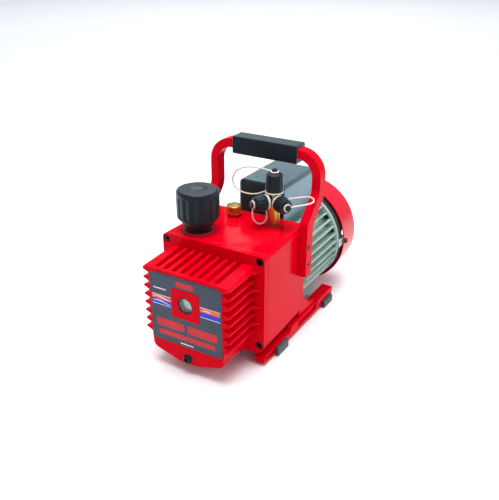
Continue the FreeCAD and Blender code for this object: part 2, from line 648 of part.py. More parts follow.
def make_motor_bells():
    """Cast end plates of the motor, with the bearing seats."""
    front = [(9.5, 125), (22, 125), (22, 112), (60, 112), (60, HOUSING_Y[0]), (TUBE_BORE - 0.05, HOUSING_Y[0]),
             (TUBE_BORE - 0.05, 128), (53, 128), (53, 127), (21.5, 129), (21.5, 139.2), (17.55, 139.2),
             (17.55, BEARING_FRONT_Y), (9.5, BEARING_FRONT_Y)]
    front = turned(front, (0, 0, AXIS_Z), Y_AXIS)
    holes = [rod(2.6, (0, 105, AXIS_Z + 50), Y_AXIS, 30)]
    save("motor_front_bell", front.cut(around(holes[0], (0, 0, AXIS_Z), Y_AXIS, 4, 45)))
    rear = [(17.55, BEARING_REAR_Y), (17.55, 243), (9.5, 243), (9.5, 245.6), (22, 245.6), (22, 234.5), (52, 236),
            (BELL_R, 236), (BELL_R, HOUSING_Y[1]), (TUBE_BORE - 0.05, HOUSING_Y[1]), (TUBE_BORE - 0.05, 224), (53, 224),
            (53, 230), (21.5, 230), (21.5, BEARING_REAR_Y)]
    rear = turned(rear, (0, 0, AXIS_Z), Y_AXIS)
    notch = block(-6.6, 6.6, 220, 245, AXIS_Z + 65.7, AXIS_Z + 80)
    save("motor_rear_bell", rear.cut(around(notch, (0, 0, AXIS_Z), Y_AXIS, 4)))


def motor_fins():
    """Straight cooling fins, left out where the terminal box sits."""
    fins = []
    for k in range(MOTOR_FIN_COUNT):
        angle = 360.0 * (k + 0.5) / MOTOR_FIN_COUNT
        from_top = min(angle, 360 - angle)
        if from_top < 36:
            continue
        section = [(-1.5, AXIS_Z + TUBE_R - 0.6), (1.5, AXIS_Z + TUBE_R - 0.6), (0.8, AXIS_Z + FIN_R),
                   (-0.8, AXIS_Z + FIN_R)]
        fin = prism(section, "xz", HOUSING_Y[0], HOUSING_Y[1] - 4, [0, 0, 0.6, 0.6])
        fins.append(turn(fin, (0, 0, AXIS_Z), Y_AXIS, angle))
    return fins


def make_motor_housing():
    start = (0, HOUSING_Y[0], AXIS_Z)
    barrel = rod(TUBE_R, start, Y_AXIS, HOUSING_Y[1] - HOUSING_Y[0])
    end_ring = rod(FIN_R + 0.8, (0, HOUSING_Y[1] - 5, AXIS_Z), Y_AXIS, 5)
    box_room = block(-BOX_HALF - 1.5, BOX_HALF + 1.5, HOUSING_Y[0] - 10, BOX_Y[1] + 1, AXIS_Z + 40, AXIS_Z + 90)
    end_ring = end_ring.cut(rod(TUBE_R - 1, (0, 200, AXIS_Z), Y_AXIS, 40))
    slots = []
    for fin_gap in range(0, MOTOR_FIN_COUNT, 2):
        angle = 360.0 * fin_gap / MOTOR_FIN_COUNT
        window = block(-3.2, 3.2, 215, 235, AXIS_Z + TUBE_R + 0.5, AXIS_Z + FIN_R - 3)
        slots.append(turn(window, (0, 0, AXIS_Z), Y_AXIS, angle))
    end_ring = end_ring.cut(slots)
    lug = prism(rectangle(-6, 6, AXIS_Z + 66, AXIS_Z + COVER_R - COVER_SHEET - 0.9), "xz", HOUSING_Y[1] - 4, 247, 1)
    lugs = around(lug, (0, 0, AXIS_Z), Y_AXIS, 4)
    housing = barrel.fuse(motor_fins() + [end_ring] + lugs)
    bore = rod(TUBE_BORE, (0, 100, AXIS_Z), Y_AXIS, 160)
    inner_room = rod(65.9, (0, HOUSING_Y[1], AXIS_Z), Y_AXIS, 30)
    screw_holes = around(rod(1.9, (0, 241.5, AXIS_Z + 60), Z_AXIS, 22), (0, 0, AXIS_Z), Y_AXIS, 4)
    cavity = box_room.cut(rod(TUBE_R, (0, 100, AXIS_Z), Y_AXIS, 160))
    save("motor_housing", housing.cut([bore, inner_room, cavity] + screw_holes))


def make_stator():
    core = tube(TUBE_BORE, 30.6, (0, CORE_Y[0], AXIS_Z), Y_AXIS, CORE_Y[1] - CORE_Y[0])
    slot = prism([(-1.2, AXIS_Z + 30), (1.2, AXIS_Z + 30), (1.2, AXIS_Z + 32.4), (3.4, AXIS_Z + 34),
                  (4.6, AXIS_Z + 44), (-4.6, AXIS_Z + 44), (-3.4, AXIS_Z + 34), (-1.2, AXIS_Z + 32.4)],
                 "xz", CORE_Y[0] - 1, CORE_Y[1] + 1)
    save("stator_core", core.cut(around(slot, (0, 0, AXIS_Z), Y_AXIS, 24)))
    bundle = [(34.5, 0), (46, 0), (48, 4), (46, 9.5), (37, 11), (34, 6)]
    front = turned(bundle, (0, CORE_Y[0], AXIS_Z), (0, -1, 0), [0, 0, 2, 3, 3, 2])
    rear = turned(bundle, (0, CORE_Y[1], AXIS_Z), Y_AXIS, [0, 0, 2, 3, 3, 2])
    bar = prism([(-3.0, AXIS_Z + 35.0), (3.0, AXIS_Z + 35.0), (4.0, AXIS_Z + 43.4), (-4.0, AXIS_Z + 43.4)],
                "xz", CORE_Y[0] - 1, CORE_Y[1] + 1)
    windings = front.fuse([rear] + around(bar, (0, 0, AXIS_Z), Y_AXIS, 24))
    save("stator_windings", windings)


def make_motor_rotor():
    core = tube(30.0, 9.0, (0, CORE_Y[0], AXIS_Z), Y_AXIS, CORE_Y[1] - CORE_Y[0])
    rings = [tube(29, 23, (0, y, AXIS_Z), Y_AXIS, 5) for y in (CORE_Y[0] - 5, CORE_Y[1])]
    save("rotor_core", core.fuse(rings))
    steps = [(0, 115.6), (SHAFT_R, 115.6), (SHAFT_R, CORE_Y[0] - 2), (9.0, CORE_Y[0] - 2), (9.0, CORE_Y[1] + 6),
             (SHAFT_R, CORE_Y[1] + 6), (SHAFT_R, 246), (6.0, 246), (6.0, FAN_Y[1] + 2), (0, FAN_Y[1] + 2)]
    save("motor_shaft", turned(steps, (0, 0, AXIS_Z), Y_AXIS))


def make_bearings():
    """Two ball bearings. The outer races and balls stay with the bells, the inner races turn."""
    outer = []
    inner = []
    for y in (BEARING_FRONT_Y, BEARING_REAR_Y):
        outer.append(tube(17.5, 15.0, (0, y, AXIS_Z), Y_AXIS, BEARING_W))
        inner.append(tube(10.0, SHAFT_R, (0, y, AXIS_Z), Y_AXIS, BEARING_W))
        ball = Part.makeSphere(2.1, V(0, y + BEARING_W / 2, AXIS_Z + 12.7))
        outer += around(ball, (0, 0, AXIS_Z), Y_AXIS, 9)
    save("bearing_outer_races", *outer)
    save("bearing_inner_races", *inner)


def make_fan():
    hub = tube(15, 6.0, (0, FAN_Y[0], AXIS_Z), Y_AXIS, 15)
    disc = tube(FAN_R, 14, (0, FAN_Y[0], AXIS_Z), Y_AXIS, 2)
    blade = block(-1, 1, FAN_Y[0], FAN_Y[1], AXIS_Z + 14, AXIS_Z + FAN_R - 1)
    corner = [(FAN_Y[1] + 1, AXIS_Z + FAN_R - 18), (FAN_Y[1] + 1, AXIS_Z + FAN_R), (FAN_Y[1] - 9, AXIS_Z + FAN_R)]
    blade = blade.cut(prism(corner, "yz", -3, 3))
    save("cooling_fan", hub.fuse([disc] + around(blade, (0, 0, AXIS_Z), Y_AXIS, 9)))


def fan_grille():
    """Curved slots in the back of the fan cover, in four rings."""
    slots = []
    for ring, (inner, outer) in enumerate([(14, 21), (27, 34), (40, 47), (53, 60)]):
        band = tube(outer, inner, (0, REAR_Y - 6, AXIS_Z), Y_AXIS, 10)
        bar = block(-2.5, 2.5, REAR_Y - 7, REAR_Y + 5, AXIS_Z, AXIS_Z + 80)
        slots += band.cut(around(bar, (0, 0, AXIS_Z), Y_AXIS, 8, 22.5 * (ring % 2))).Solids
    return slots


def make_fan_cover():
    inner_r = COVER_R - COVER_SHEET
    inner_back = REAR_Y - COVER_SHEET
    outer = turned([(0, COVER_RIM_Y), (COVER_R, COVER_RIM_Y), (COVER_R - 1.5, REAR_Y), (0, REAR_Y)],
                   (0, 0, AXIS_Z), Y_AXIS, [0, 0, 17, 0])
    inner = turned([(0, COVER_RIM_Y - 1), (inner_r, COVER_RIM_Y - 1), (inner_r - 1.5, inner_back), (0, inner_back)],
                   (0, 0, AXIS_Z), Y_AXIS, [0, 0, 15.2, 0])
    screw_holes = around(rod(2.1, (0, 241.5, AXIS_Z + 60), Z_AXIS, 22), (0, 0, AXIS_Z), Y_AXIS, 4)
    save("fan_cover", outer.cut([inner] + fan_grille() + screw_holes))
    screw = socket_screw((0, 241.5, AXIS_Z + COVER_R + 0.05), Z_AXIS, 3.9, 2.4, 1.8, 10)
    screw = screw.cut(rod(COVER_R + 0.02, (0, 230, AXIS_Z), Y_AXIS, 30).cut(rod(2.0, (0, 241.5, AXIS_Z), Z_AXIS, 90)))
    save("fan_cover_screws", *around(screw, (0, 0, AXIS_Z), Y_AXIS, 4))


# ---------------------------------------------------------------- coupling and pump

def make_coupling():
    """Two jaw hubs with a rubber spider between them."""
    hubs = []
    for first, jaw_start in ((97.0, 106.0), (116.0, 108.6)):
        bore = PUMP_SHAFT_R if first < 100 else SHAFT_R
        hub = tube(18, bore, (0, first, AXIS_Z), Y_AXIS, 9)
        jaw = tube(18, 9.5, (0, jaw_start, AXIS_Z), Y_AXIS, 7.4)
        wedge = prism([(0, AXIS_Z), (-7, AXIS_Z + 24), (7, AXIS_Z + 24)], "xz", 100, 120)
        first_angle = 0 if first < 100 else 60
        jaws = [jaw.common(w) for w in around(wedge, (0, 0, AXIS_Z), Y_AXIS, 3, first_angle)]
        hubs.append(hub.fuse(jaws))
    save("coupling_hubs", *hubs)
    ring = tube(9.4, 8.2, (0, 106.6, AXIS_Z), Y_AXIS, 8.8)
    arm = block(-1.9, 1.9, 106.6, 115.4, AXIS_Z + 8.8, AXIS_Z + 17.4)
    save("coupling_spider", ring.fuse(around(arm, (0, 0, AXIS_Z), Y_AXIS, 6, 30)))


def bolt_circle(radius):
    """The four long bolts of the pump, as holes or shanks of a given radius."""
    hole = rod(radius, (0, -20, AXIS_Z + PUMP_BOLT_R), Y_AXIS, 120)
    return around(hole, (0, 0, AXIS_Z), Y_AXIS, 4, 45)


def pump_plate(y0, y1, shaft_hole):
    plate = tube(PLATE_R, shaft_hole, (0, y0, AXIS_Z), Y_AXIS, y1 - y0)
    return plate.cut(bolt_circle(2.7))


def make_pump_plates():
    running = PUMP_SHAFT_R + 0.06
    rear = pump_plate(STAGES["high"][1], WALL_Y0, running)
    intake = prism([(INLET[0] + 3.5, AXIS_Z + 20), (17, AXIS_Z + 16), (17, AXIS_Z + 10), (INLET[0], AXIS_Z + 15)],
                   "xz", STAGES["high"][1], STAGES["high"][1] + 4)
    ports = [intake, rod(4, (INLET[0], STAGES["high"][1] + 1, AXIS_Z + 20), Y_AXIS, 12),
             rod(2, (BALLAST[0], STAGES["high"][1] + 5, AXIS_Z + 30), Y_AXIS, 12)]
    save("pump_rear_plate", rear.cut(ports))
    centre = pump_plate(STAGES["low"][1], STAGES["high"][0], PUMP_SHAFT_R + 0.5)
    save("pump_centre_plate", centre.cut(rod(4, (-17, STAGES["low"][1] - 1, AXIS_Z + 12), Y_AXIS, 12)))
    save("pump_front_plate", pump_plate(STAGES["low"][0] - 8, STAGES["low"][0], running))


def make_pump_stators():
    """Two rings whose bores sit below the shaft, with a flat and valve ports on top."""
    for stage, (y0, y1) in STAGES.items():
        ring = rod(STATOR_R, (0, y0, AXIS_Z), Y_AXIS, y1 - y0)
        bore = rod(BORE_R, (0, y0 - 1, AXIS_Z - BORE_DROP), Y_AXIS, y1 - y0 + 2)
        flat = block(-50, 50, y0 - 1, y1 + 1, AXIS_Z + STATOR_R - 5, AXIS_Z + STATOR_R + 5)
        middle = (y0 + y1) / 2
        ports = [rod(1.8, (-11, middle + shift, AXIS_Z + 20), Z_AXIS, 30) for shift in (-5, 0, 5)]
        save("pump_stator_" + stage, ring.cut([bore, flat] + bolt_circle(2.7) + ports))


def make_pump_rotors():
    """Slotted rotors, their vanes drawn in flush, and the springs between the vanes."""
    rotors = []
    vanes = []
    springs = []
    for y0, y1 in STAGES.values():
        start = (0, y0 + 0.1, AXIS_Z)
        length = y1 - y0 - 0.2
        slot = block(-40, 40, y0 - 1, y1 + 1, AXIS_Z - SLOT_T / 2, AXIS_Z + SLOT_T / 2)
        slot = slot.cut(rod(11.5, (0, y0 - 1, AXIS_Z), Y_AXIS, length + 4))
        rotor = tube(ROTOR_R, PUMP_SHAFT_R, start, Y_AXIS, length).cut(slot)
        rotors.append(rotor)
        vane = block(13.6, 30, y0 + 0.2, y1 - 0.2, AXIS_Z - VANE_T / 2, AXIS_Z + VANE_T / 2)
        vane = vane.common(rod(ROTOR_R - 0.1, start, Y_AXIS, length))
        vanes += both_sides(vane)
        for y in (y0 + 0.25 * length, y0 + 0.75 * length):
            spring = tube(1.4, 0.7, (11.6, y, AXIS_Z), X_AXIS, 1.9)
            springs += both_sides(spring)
    save("pump_rotors", *rotors)
    save("pump_vanes", *vanes)
    save("vane_springs", *springs)
    save("pump_shaft", rod(PUMP_SHAFT_R, (0, 8, AXIS_Z), Y_AXIS, 97.5))


def make_seal_and_valve():
    seal = turned([(PUMP_SHAFT_R + 0.5, 86.2), (14, 86.2), (14, 92.4), (11.6, 92.4), (11.6, 88.2), (9.4, 88.2),
                   (PUMP_SHAFT_R + 0.5, 91.4)], (0, 0, AXIS_Z), Y_AXIS)
    save("shaft_seal", seal)
    top = AXIS_Z + STATOR_R - 5
    pieces = []
    for y0, y1 in STAGES.values():
        middle = (y0 + y1) / 2
        reed = block(-16, 8, middle - 8, middle + 8, top, top + 0.5)
        stop = prism([(-16, top + 3.2), (-16, top + 1.7), (0, top + 0.5), (8, top + 0.5), (8, top + 2), (0, top + 2)],
                     "xz", middle - 8, middle + 8)
        screw = rod(2.4, (4, middle, top + 2), Z_AXIS, 2.2)
        pieces += [reed, stop.fuse(screw)]
    save("exhaust_valves", *pieces)


def make_pump_bolts():
    seat = STAGES["low"][0] - 8
    bolt = socket_screw((0, seat, AXIS_Z + PUMP_BOLT_R), (0, -1, 0), 4.2, 5.0, 2.5, WALL_Y0 + 12 - seat)
    save("pump_bolts", *around(bolt, (0, 0, AXIS_Z), Y_AXIS, 4, 45))


# ---------------------------------------------------------------- terminal box

def make_terminal_box():
    outer = prism(rectangle(-BOX_HALF, BOX_HALF, AXIS_Z + 40, BOX_TOP), "xz", *BOX_Y, [0, 0, 7, 7])
    outer = rounded(outer, 5, lambda p: abs(p.y - BOX_Y[0]) < 0.01 and p.z > AXIS_Z + 80)
    inside = BOX_HALF - BOX_WALL
    inner = prism(rectangle(-inside, inside, AXIS_Z + 30, BOX_TOP - BOX_WALL), "xz",
                  BOX_Y[0] + BOX_WALL, BOX_Y[1] - BOX_WALL, [0, 0, 4.5, 4.5])
    saddle = rod(TUBE_R + 0.1, (0, 100, AXIS_Z), Y_AXIS, 160)
    front_bell_room = block(-60, 60, 110, HOUSING_Y[0], AXIS_Z, AXIS_Z + 63)
    openings = [prism(rectangle(SWITCH_X - 7, SWITCH_X + 7, PANEL_Z - 10, PANEL_Z + 10), "xz", 205, 220),
                prism(rectangle(SOCKET_X - 12, SOCKET_X + 12, PANEL_Z - 10, PANEL_Z + 10), "xz", 205, 220, 1.5)]
    openings += [rod(1.7, (x, 205, AXIS_Z + 66), Y_AXIS, 15) for x in (-22, 22)]
    save("terminal_box", outer.cut([inner, saddle, front_bell_room] + openings))
    screws = [socket_screw((x, BOX_Y[1], AXIS_Z + 66), Y_AXIS, 3.2, 2.2, 1.6, 8) for x in (-22, 22)]
    save("terminal_box_screws", *screws)


def make_electrics():
    capacitor = turned([(0, 132), (19, 132), (19, 192), (15, 194), (0, 194)], (-5, 0, BOX_TOP - 25), Y_AXIS,
                       [0, 1.5, 2, 1, 0])
    tabs = [block(-5 + x - 2.5, -5 + x + 2.5, 193, 197.4, BOX_TOP - 25.4, BOX_TOP - 24.6) for x in (-7, 7)]
    save("run_capacitor", capacitor.fuse(tabs))
    back = BOX_Y[1]
    frame = prism(rectangle(SWITCH_X - 8.5, SWITCH_X + 8.5, PANEL_Z - 12, PANEL_Z + 12), "xz", back, back + 1.6, 1.5)
    frame = frame.fuse(prism(rectangle(SWITCH_X - 6.9, SWITCH_X + 6.9, PANEL_Z - 9.9, PANEL_Z + 9.9), "xz", 204, back))
    frame = frame.cut(prism(rectangle(SWITCH_X - 5.7, SWITCH_X + 5.7, PANEL_Z - 8.7, PANEL_Z + 8.7), "xz",
                            back - 5, back + 3))
    save("switch_frame", frame)
    rocker = prism([(back - 2.4, PANEL_Z - 7.2), (back + 3.4, PANEL_Z - 7.2), (back + 1.6, PANEL_Z),
                    (back + 1.6, PANEL_Z + 7.2), (back - 2.4, PANEL_Z + 7.2), (back - 3.6, PANEL_Z)], "yz",
                   SWITCH_X - 5.3, SWITCH_X + 5.3, [0.6, 0.8, 3, 0.6, 0.6, 0.6])
    save("rocker_switch", rocker)
    shell = prism(rectangle(SOCKET_X - 14, SOCKET_X + 14, PANEL_Z - 12, PANEL_Z + 12), "xz", back, back + 2.4, 3)
    shell = shell.fuse(prism(rectangle(SOCKET_X - 11.9, SOCKET_X + 11.9, PANEL_Z - 9.9, PANEL_Z + 9.9), "xz",
                             198, back, 1.5))
    well = prism([(SOCKET_X - 10.2, PANEL_Z + 8.2), (SOCKET_X - 10.2, PANEL_Z - 4.6), (SOCKET_X - 6.4, PANEL_Z - 8.2),
                  (SOCKET_X + 6.4, PANEL_Z - 8.2), (SOCKET_X + 10.2, PANEL_Z - 4.6), (SOCKET_X + 10.2, PANEL_Z + 8.2)],
                 "xz", 200.5, back + 4, 1)
    pins = [block(SOCKET_X + x - 1, SOCKET_X + x + 1, 200, back - 1, z - 2, z + 2)
            for x, z in ((-6, PANEL_Z - 1.5), (0, PANEL_Z + 3), (6, PANEL_Z - 1.5))]
    save("power_inlet", shell.cut(well).fuse(pins))


def main():
    os.makedirs("parts", exist_ok=True)
    make_casing()
    make_gasket()
    make_cover()
    make_cover_screws()
    make_sight_glass()
    make_label()
    make_drain_plug()
    make_washers()
    make_exhaust()
    make_gas_ballast()
    make_inlet()
    make_flare_caps()
    make_straps()
    make_handle()
    make_grip()
    make_base()
    make_feet()
    make_motor_bells()
    make_motor_housing()
    make_stator()
    make_motor_rotor()
    make_bearings()
    make_fan()
    make_fan_cover()
    make_coupling()
    make_pump_plates()
    make_pump_stators()
    make_pump_rotors()
    make_seal_and_valve()
    make_pump_bolts()
    make_terminal_box()
    make_electrics()


main()
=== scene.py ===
import json
import math

import bmesh
import bpy
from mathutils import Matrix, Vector


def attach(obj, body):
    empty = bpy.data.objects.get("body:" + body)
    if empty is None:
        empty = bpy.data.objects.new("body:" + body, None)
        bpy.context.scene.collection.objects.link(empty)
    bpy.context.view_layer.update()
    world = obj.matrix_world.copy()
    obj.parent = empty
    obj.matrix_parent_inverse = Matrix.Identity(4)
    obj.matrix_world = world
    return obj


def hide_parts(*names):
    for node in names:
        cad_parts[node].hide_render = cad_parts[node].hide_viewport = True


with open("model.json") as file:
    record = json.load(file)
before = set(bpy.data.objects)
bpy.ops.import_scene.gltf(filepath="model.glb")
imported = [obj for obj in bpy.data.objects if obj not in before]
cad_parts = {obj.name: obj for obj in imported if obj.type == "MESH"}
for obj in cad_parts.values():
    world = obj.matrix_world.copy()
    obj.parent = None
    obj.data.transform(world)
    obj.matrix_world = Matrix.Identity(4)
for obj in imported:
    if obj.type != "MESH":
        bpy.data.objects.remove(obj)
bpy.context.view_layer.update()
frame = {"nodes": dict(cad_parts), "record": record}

# Looks of the rotary vane vacuum pump. Lengths in metres unless a name or a comment says millimetres.
MM = 0.001
Y_CENTRE = 115.0                # the CAD's own y of the machine's middle, in millimetres

# Camera
CAMERA_PLACE = (407.4, -598.0, 495.8)      # millimetres
CAMERA_AZIMUTH = 30.567
CAMERA_ELEVATION = 25.672
CAMERA_LENS = 46.85
CAMERA_SENSOR = 36

# Cap straps, in millimetres: the route of each, then its two eyes
INLET = (35.8, 93.8)
PORT_Z = 190.0
PORT_ANGLES = {"right": -30.0, "left": -120.0}
STRAP_R = 1.0
STRAPS = {
    "top": [(31.2, 93.7, 228.6), (22.0, 93.4, 229.8), (8.0, 92.6, 230.2), (-8.0, 91.8, 228.6),
            (-20.6, 91.4, 221.4), (-26.6, 91.4, 209.6), (-23.4, 91.6, 198.0), (-12.0, 92.2, 192.4),
            (3.0, 92.8, 192.0), (16.0, 93.4, 196.0), (25.4, 93.7, 201.6)],
    "right": [(65.4, 81.9, 190.0), (70.6, 91.2, 189.6), (76.0, 101.0, 189.0), (81.2, 110.4, 188.8),
              (82.2, 116.8, 190.6), (77.6, 119.2, 193.4), (71.6, 114.6, 194.8), (64.4, 106.4, 195.0),
              (56.6, 100.2, 194.2), (50.5, 95.0, 192.6)],
    "left": [(19.9, 66.3, 185.6), (19.2, 65.3, 177.0), (20.6, 67.6, 167.6), (24.2, 73.8, 160.8),
             (28.6, 81.4, 161.4), (30.8, 85.0, 170.0), (29.7, 83.1, 181.2)],
}
# Each eye's inner and outer radius, where it starts along the port's axis, and its thickness
BUTTON_EYE = {"top": (2.9, 5.6, 227.8, 1.6), "side": (2.9, 5.4, 31.0, 1.6)}
NECK_EYE = {"top": (8.1, 12.2, 200.9, 1.9), "side": (6.4, 10.2, 10.4, 3.4)}
EYE_STEPS = 56
EYE_SIDES = 16
EYE_ROUNDING = 0.55             # 1 gives an oval section, and less a squarer one

# Printed label, in millimetres
LABEL_FRONT = -59.2
LABEL_X = (-51.4, 51.6)
LABEL_Z = (39.6, 134.0)
LABEL_CORNER = 6.0
LABEL_RIM = (1.2, 1.6)          # the dark line runs between these, inside the edge
CORNER_STEPS = 6
SQUARE_HALF = 20.4
SQUARE_GAP = 0.8
STRIPE_END_GAP = 1.8
PRINT_T = 0.06
WAVE_STEPS = 24
WAVE_TAPER = 0.12               # the ribbon's width is a sine arch less this share at either end

INKS = {                        # the darkest and the brightest of each
    "white": ((0.58, 0.60, 0.62), (0.72, 0.74, 0.76)),
    "orange": ((0.70, 0.10, 0.035), (0.80, 0.13, 0.05)),
    "blue": ((0.016, 0.022, 0.52), (0.025, 0.034, 0.64)),
    "red": ((0.50, 0.006, 0.014), (0.60, 0.010, 0.022)),
    "grey": ((0.020, 0.022, 0.028), (0.030, 0.033, 0.040)),
}
STRIPES = [                     # name, low, high, corner, ink: on both sides of the square
    ("line_high", 103.5, 104.3, 0.2, "white"),
    ("band_high", 97.6, 103.3, 0.3, "orange"),
    ("band_low", 91.3, 97.0, 0.3, "blue"),
    ("line_low", 90.3, 91.1, 0.2, "white"),
]
WAVES = [                       # name, first x, last x, middle, rise, width, turns
    ("wave_high", -48.5, -21.6, 100.2, 1.5, 1.7, 0.8),
    ("wave_low", -49.0, -22.4, 94.4, 1.3, 1.5, 0.7),
    ("spark", 24.0, 37.0, 99.6, 1.0, 1.6, 0.5),
]
BARS = [                        # name, first x, last x, low, high, corner, ink
    ("bar_top", -12.5, 12.5, 121.6, 129.0, 1.6, "red"),
    ("bar_wide_left", -44.5, -3.0, 60.2, 71.6, 2.2, "red"),
    ("bar_wide_right", 2.0, 44.5, 60.2, 71.6, 2.2, "red"),
    ("bar_thin", -41.5, 41.5, 48.6, 55.6, 1.8, "red"),
    ("tick_left", -47.0, -28.0, 112.0, 113.7, 0.6, "white"),
    ("tick_low", -10.0, 10.0, 42.6, 44.2, 0.6, "white"),
]

# Painted shade round the sight glass: a thin black ring, shaped like a seal, that stands in for the shadow
# inside the glass's bore, in millimetres
GLASS_Z = 98.8
SHADE_RING_R = 10.3
SHADE_RING_Y = -59.55
SHADE_RING_WIDTH = 1.4
SHADE_RING_T = 0.36
SHADE_RING_STEPS = 64
SHADE_RING_SIDES = 12

# Materials
ENAMEL_EDGE = 0.0009            # radius to which edges look rounded
CAST_EDGE = 0.0006              # for mouldings too
METAL_EDGE = 0.0004             # turned and ground metal
NOISE_RANGE = (0.3, 0.7)        # where nearly all of a noise texture's values lie
GLANCE_RANGE = (0.26, 0.54)     # facing weights between which the shine comes up
MOULDED_SHEEN = (0.55, 0.84, 0.95)      # tints
MOULDED_SHINE = (0.55, 0.86, 1.0)
MOULDED_SHINE_IOR = 2.0

# Studio
WORLD_COLOUR = (0.49, 0.51, 0.54)
FLOOR_SIZE = 14.0
FLOOR_CELLS = 8
SOFTBOXES = [                   # name, place, target, width, height, watts
    ("overhead", (0.10, -0.20, 1.7), (0, 0, 0.1), 1.1, 1.1, 34),
    ("backdrop_wash", (-1.6, 3.0, 4.0), (-1.9, 3.7, 0), 3.8, 3.8, 145),
    ("right_low", (0.75, 0.45, 0.55), (0.15, 0.12, 0.0), 0.5, 0.5, 2.2),
    ("rear_window", (-0.605, 0.934, 0.692), (0.014, -0.073, 0.153), 0.08, 0.05, 0.09),
]


def at(x, y, z):
    """A point of the CAD's own millimetres, in the row frame."""
    return Vector((x, y - Y_CENTRE, z)) * MM


# ---------------------------------------------------------------- meshes

def new_piece(name, mesh, body, material):
    """Finish a bmesh as a smooth piece that rides on a body."""
    bmesh.ops.recalc_face_normals(mesh, faces=mesh.faces)
    data = bpy.data.meshes.new(name)
    mesh.to_mesh(data)
    mesh.free()
    piece = bpy.data.objects.new(name, data)
    bpy.context.scene.collection.objects.link(piece)
    data.materials.append(material)
    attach(piece, body)
    return piece


def hoop(rows):
    """Closed mesh from rows of points, each row a closed section, the last row joined to the first."""
    mesh = bmesh.new()
    grid = [[mesh.verts.new(point) for point in row] for row in rows]
    for k, row in enumerate(grid):
        following = grid[(k + 1) % len(grid)]
        for i in range(len(row)):
            j = (i + 1) % len(row)
            face = mesh.faces.new((row[i], row[j], following[j], following[i]))
            face.smooth = True
    return mesh


def slab(outline, lift):
    """Thin printed shape on the label's face, from an (x, z) outline in millimetres."""
    mesh = bmesh.new()
    back = [mesh.verts.new(at(x, LABEL_FRONT, z)) for x, z in outline]
    front = [mesh.verts.new(at(x, LABEL_FRONT - lift, z)) for x, z in outline]
    mesh.faces.new(front)
    mesh.faces.new(back[::-1])
    for i in range(len(outline)):
        j = (i + 1) % len(outline)
        mesh.faces.new((back[i], back[j], front[j], front[i]))
    return mesh


def rounded_outline(x0, x1, z0, z1, radius):
    """Rectangle with round corners, as (x, z) points."""
    corners = [(x1 - radius, z1 - radius, 0), (x0 + radius, z1 - radius, 90),
               (x0 + radius, z0 + radius, 180), (x1 - radius, z0 + radius, 270)]
    points = []
    for cx, cz, first in corners:
        for k in range(CORNER_STEPS + 1):
            angle = math.radians(first + 90 * k / CORNER_STEPS)
            points.append((cx + radius * math.cos(angle), cz + radius * math.sin(angle)))
    return points


# ---------------------------------------------------------------- materials

